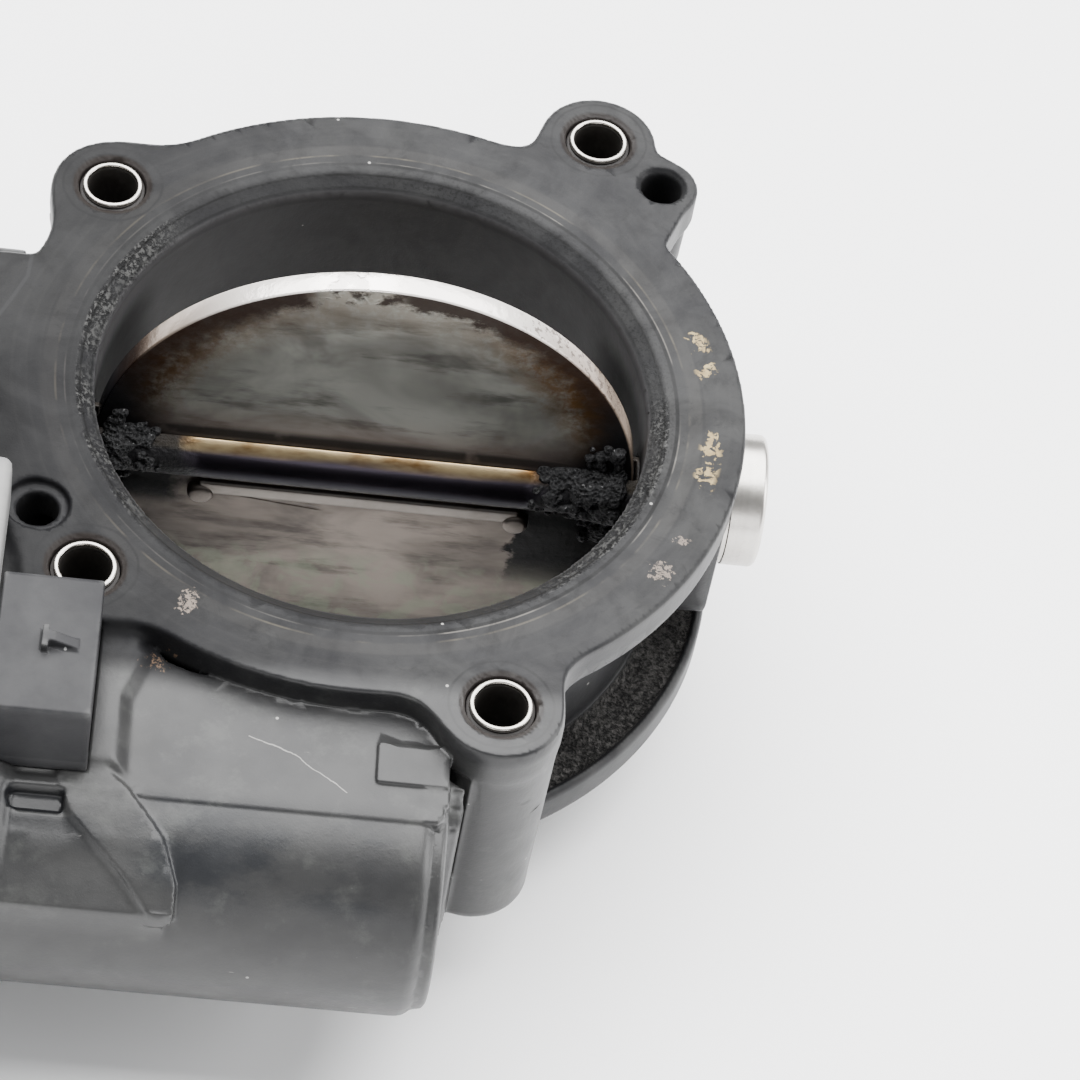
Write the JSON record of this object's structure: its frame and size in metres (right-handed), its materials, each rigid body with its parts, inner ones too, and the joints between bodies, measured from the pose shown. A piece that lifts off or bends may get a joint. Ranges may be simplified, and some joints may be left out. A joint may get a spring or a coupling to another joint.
{
  "type": "throttle body",
  "caption": "Electronic throttle body: moulded housing with a round bore, butterfly plate on a cross shaft, side gear case, motor barrel and plug socket.",
  "frame": {"origin": "centre of the bounding box at rest, on the plane of the spigot's end, on which the part stands", "axes": "+Z along the bore, out of the upper flange; +X along the throttle shaft, from the gear case to the bearing cap; +Y across the bore, away from the motor barrel; the bore's axis is at x 7.35 mm, y 14.49 mm and the upper flange's face at z 50 mm"},
  "size_m": [0.1172, 0.1386, 0.0702],
  "materials": {
    "moulded_body": "satin",
    "cover_plastic": "satin",
    "seal_rubber": "matte",
    "contact_brass": "satin",
    "screw_steel": "satin",
    "sleeve_steel": "satin",
    "cap_steel": "satin",
    "bearing_steel": "polished",
    "shaft_steel": "satin",
    "plate_alloy": "satin",
    "rivet_steel": "satin",
    "gear_nylon": "satin",
    "ferrite": "matte",
    "spring_steel": "satin",
    "circuit_board": "satin",
    "can_steel": "satin",
    "motor_plastic": "satin",
    "winding_copper": "satin"
  },
  "bodies": {
    "housing": {"housing": "moulded_body", "gear_cover": "cover_plastic", "cover_seal": "seal_rubber", "connector_shroud": "moulded_body", "connector_pin_1": "contact_brass", "connector_pin_2": "contact_brass", "connector_pin_3": "contact_brass", "connector_pin_4": "contact_brass", "connector_pin_5": "contact_brass", "connector_pin_6": "contact_brass", "cover_screw_1": "screw_steel", "cover_screw_2": "screw_steel", "cover_screw_3": "screw_steel", "cover_screw_4": "screw_steel", "cover_screw_5": "screw_steel", "cover_screw_6": "screw_steel", "bolt_sleeve_1": "sleeve_steel", "bolt_sleeve_2": "sleeve_steel", "bolt_sleeve_3": "sleeve_steel", "bolt_sleeve_4": "sleeve_steel", "spigot_seal": "seal_rubber", "bearing_cap": "cap_steel", "gear_side_bearing": "bearing_steel", "cap_side_bearing": "bearing_steel", "gear_side_seal": "seal_rubber", "cap_side_seal": "seal_rubber", "return_spring": "spring_steel", "sensor_board": "circuit_board", "intermediate_pin": "bearing_steel", "motor_can": "can_steel", "motor_end_plate": "motor_plastic", "motor_magnet_1": "ferrite", "motor_magnet_2": "ferrite", "motor_wave_washer": "spring_steel", "motor_screw_1": "screw_steel", "motor_screw_2": "screw_steel"},
    "throttle": {"throttle_shaft": "shaft_steel", "throttle_plate": "plate_alloy", "plate_rivet_1": "rivet_steel", "plate_rivet_2": "rivet_steel", "sector_gear": "gear_nylon", "sensor_magnet": "ferrite", "retaining_ring": "spring_steel"},
    "intermediate": {"intermediate_gear": "gear_nylon"},
    "rotor": {"motor_armature": "winding_copper", "motor_shaft": "bearing_steel", "motor_pinion": "contact_brass"}
  },
  "joints": [
    {"name": "throttle_turn", "type": "hinge", "parent": "housing", "child": "throttle", "pos_m": [0.00735, 0.01449, 0.0356], "axis": [1, 0, 0], "range_deg": [-83, 0], "stiffness_Nm_per_rad": 0.12, "springref_deg": 57.3},
    {"name": "intermediate_turn", "type": "hinge", "parent": "housing", "child": "intermediate", "pos_m": [-0.05065, -0.01901, 0.02546], "axis": [1, 0, 0], "range_deg": [-2, 334]},
    {"name": "motor_turn", "type": "hinge", "parent": "housing", "child": "rotor", "pos_m": [-0.01265, -0.04481, 0.0294], "axis": [1, 0, 0], "range_deg": [-1275, 2]}
  ],
  "couplings": [
    {"joint": "intermediate_turn", "follows": "throttle_turn", "ratio": -4},
    {"joint": "motor_turn", "follows": "throttle_turn", "ratio": 15.333}
  ]
}
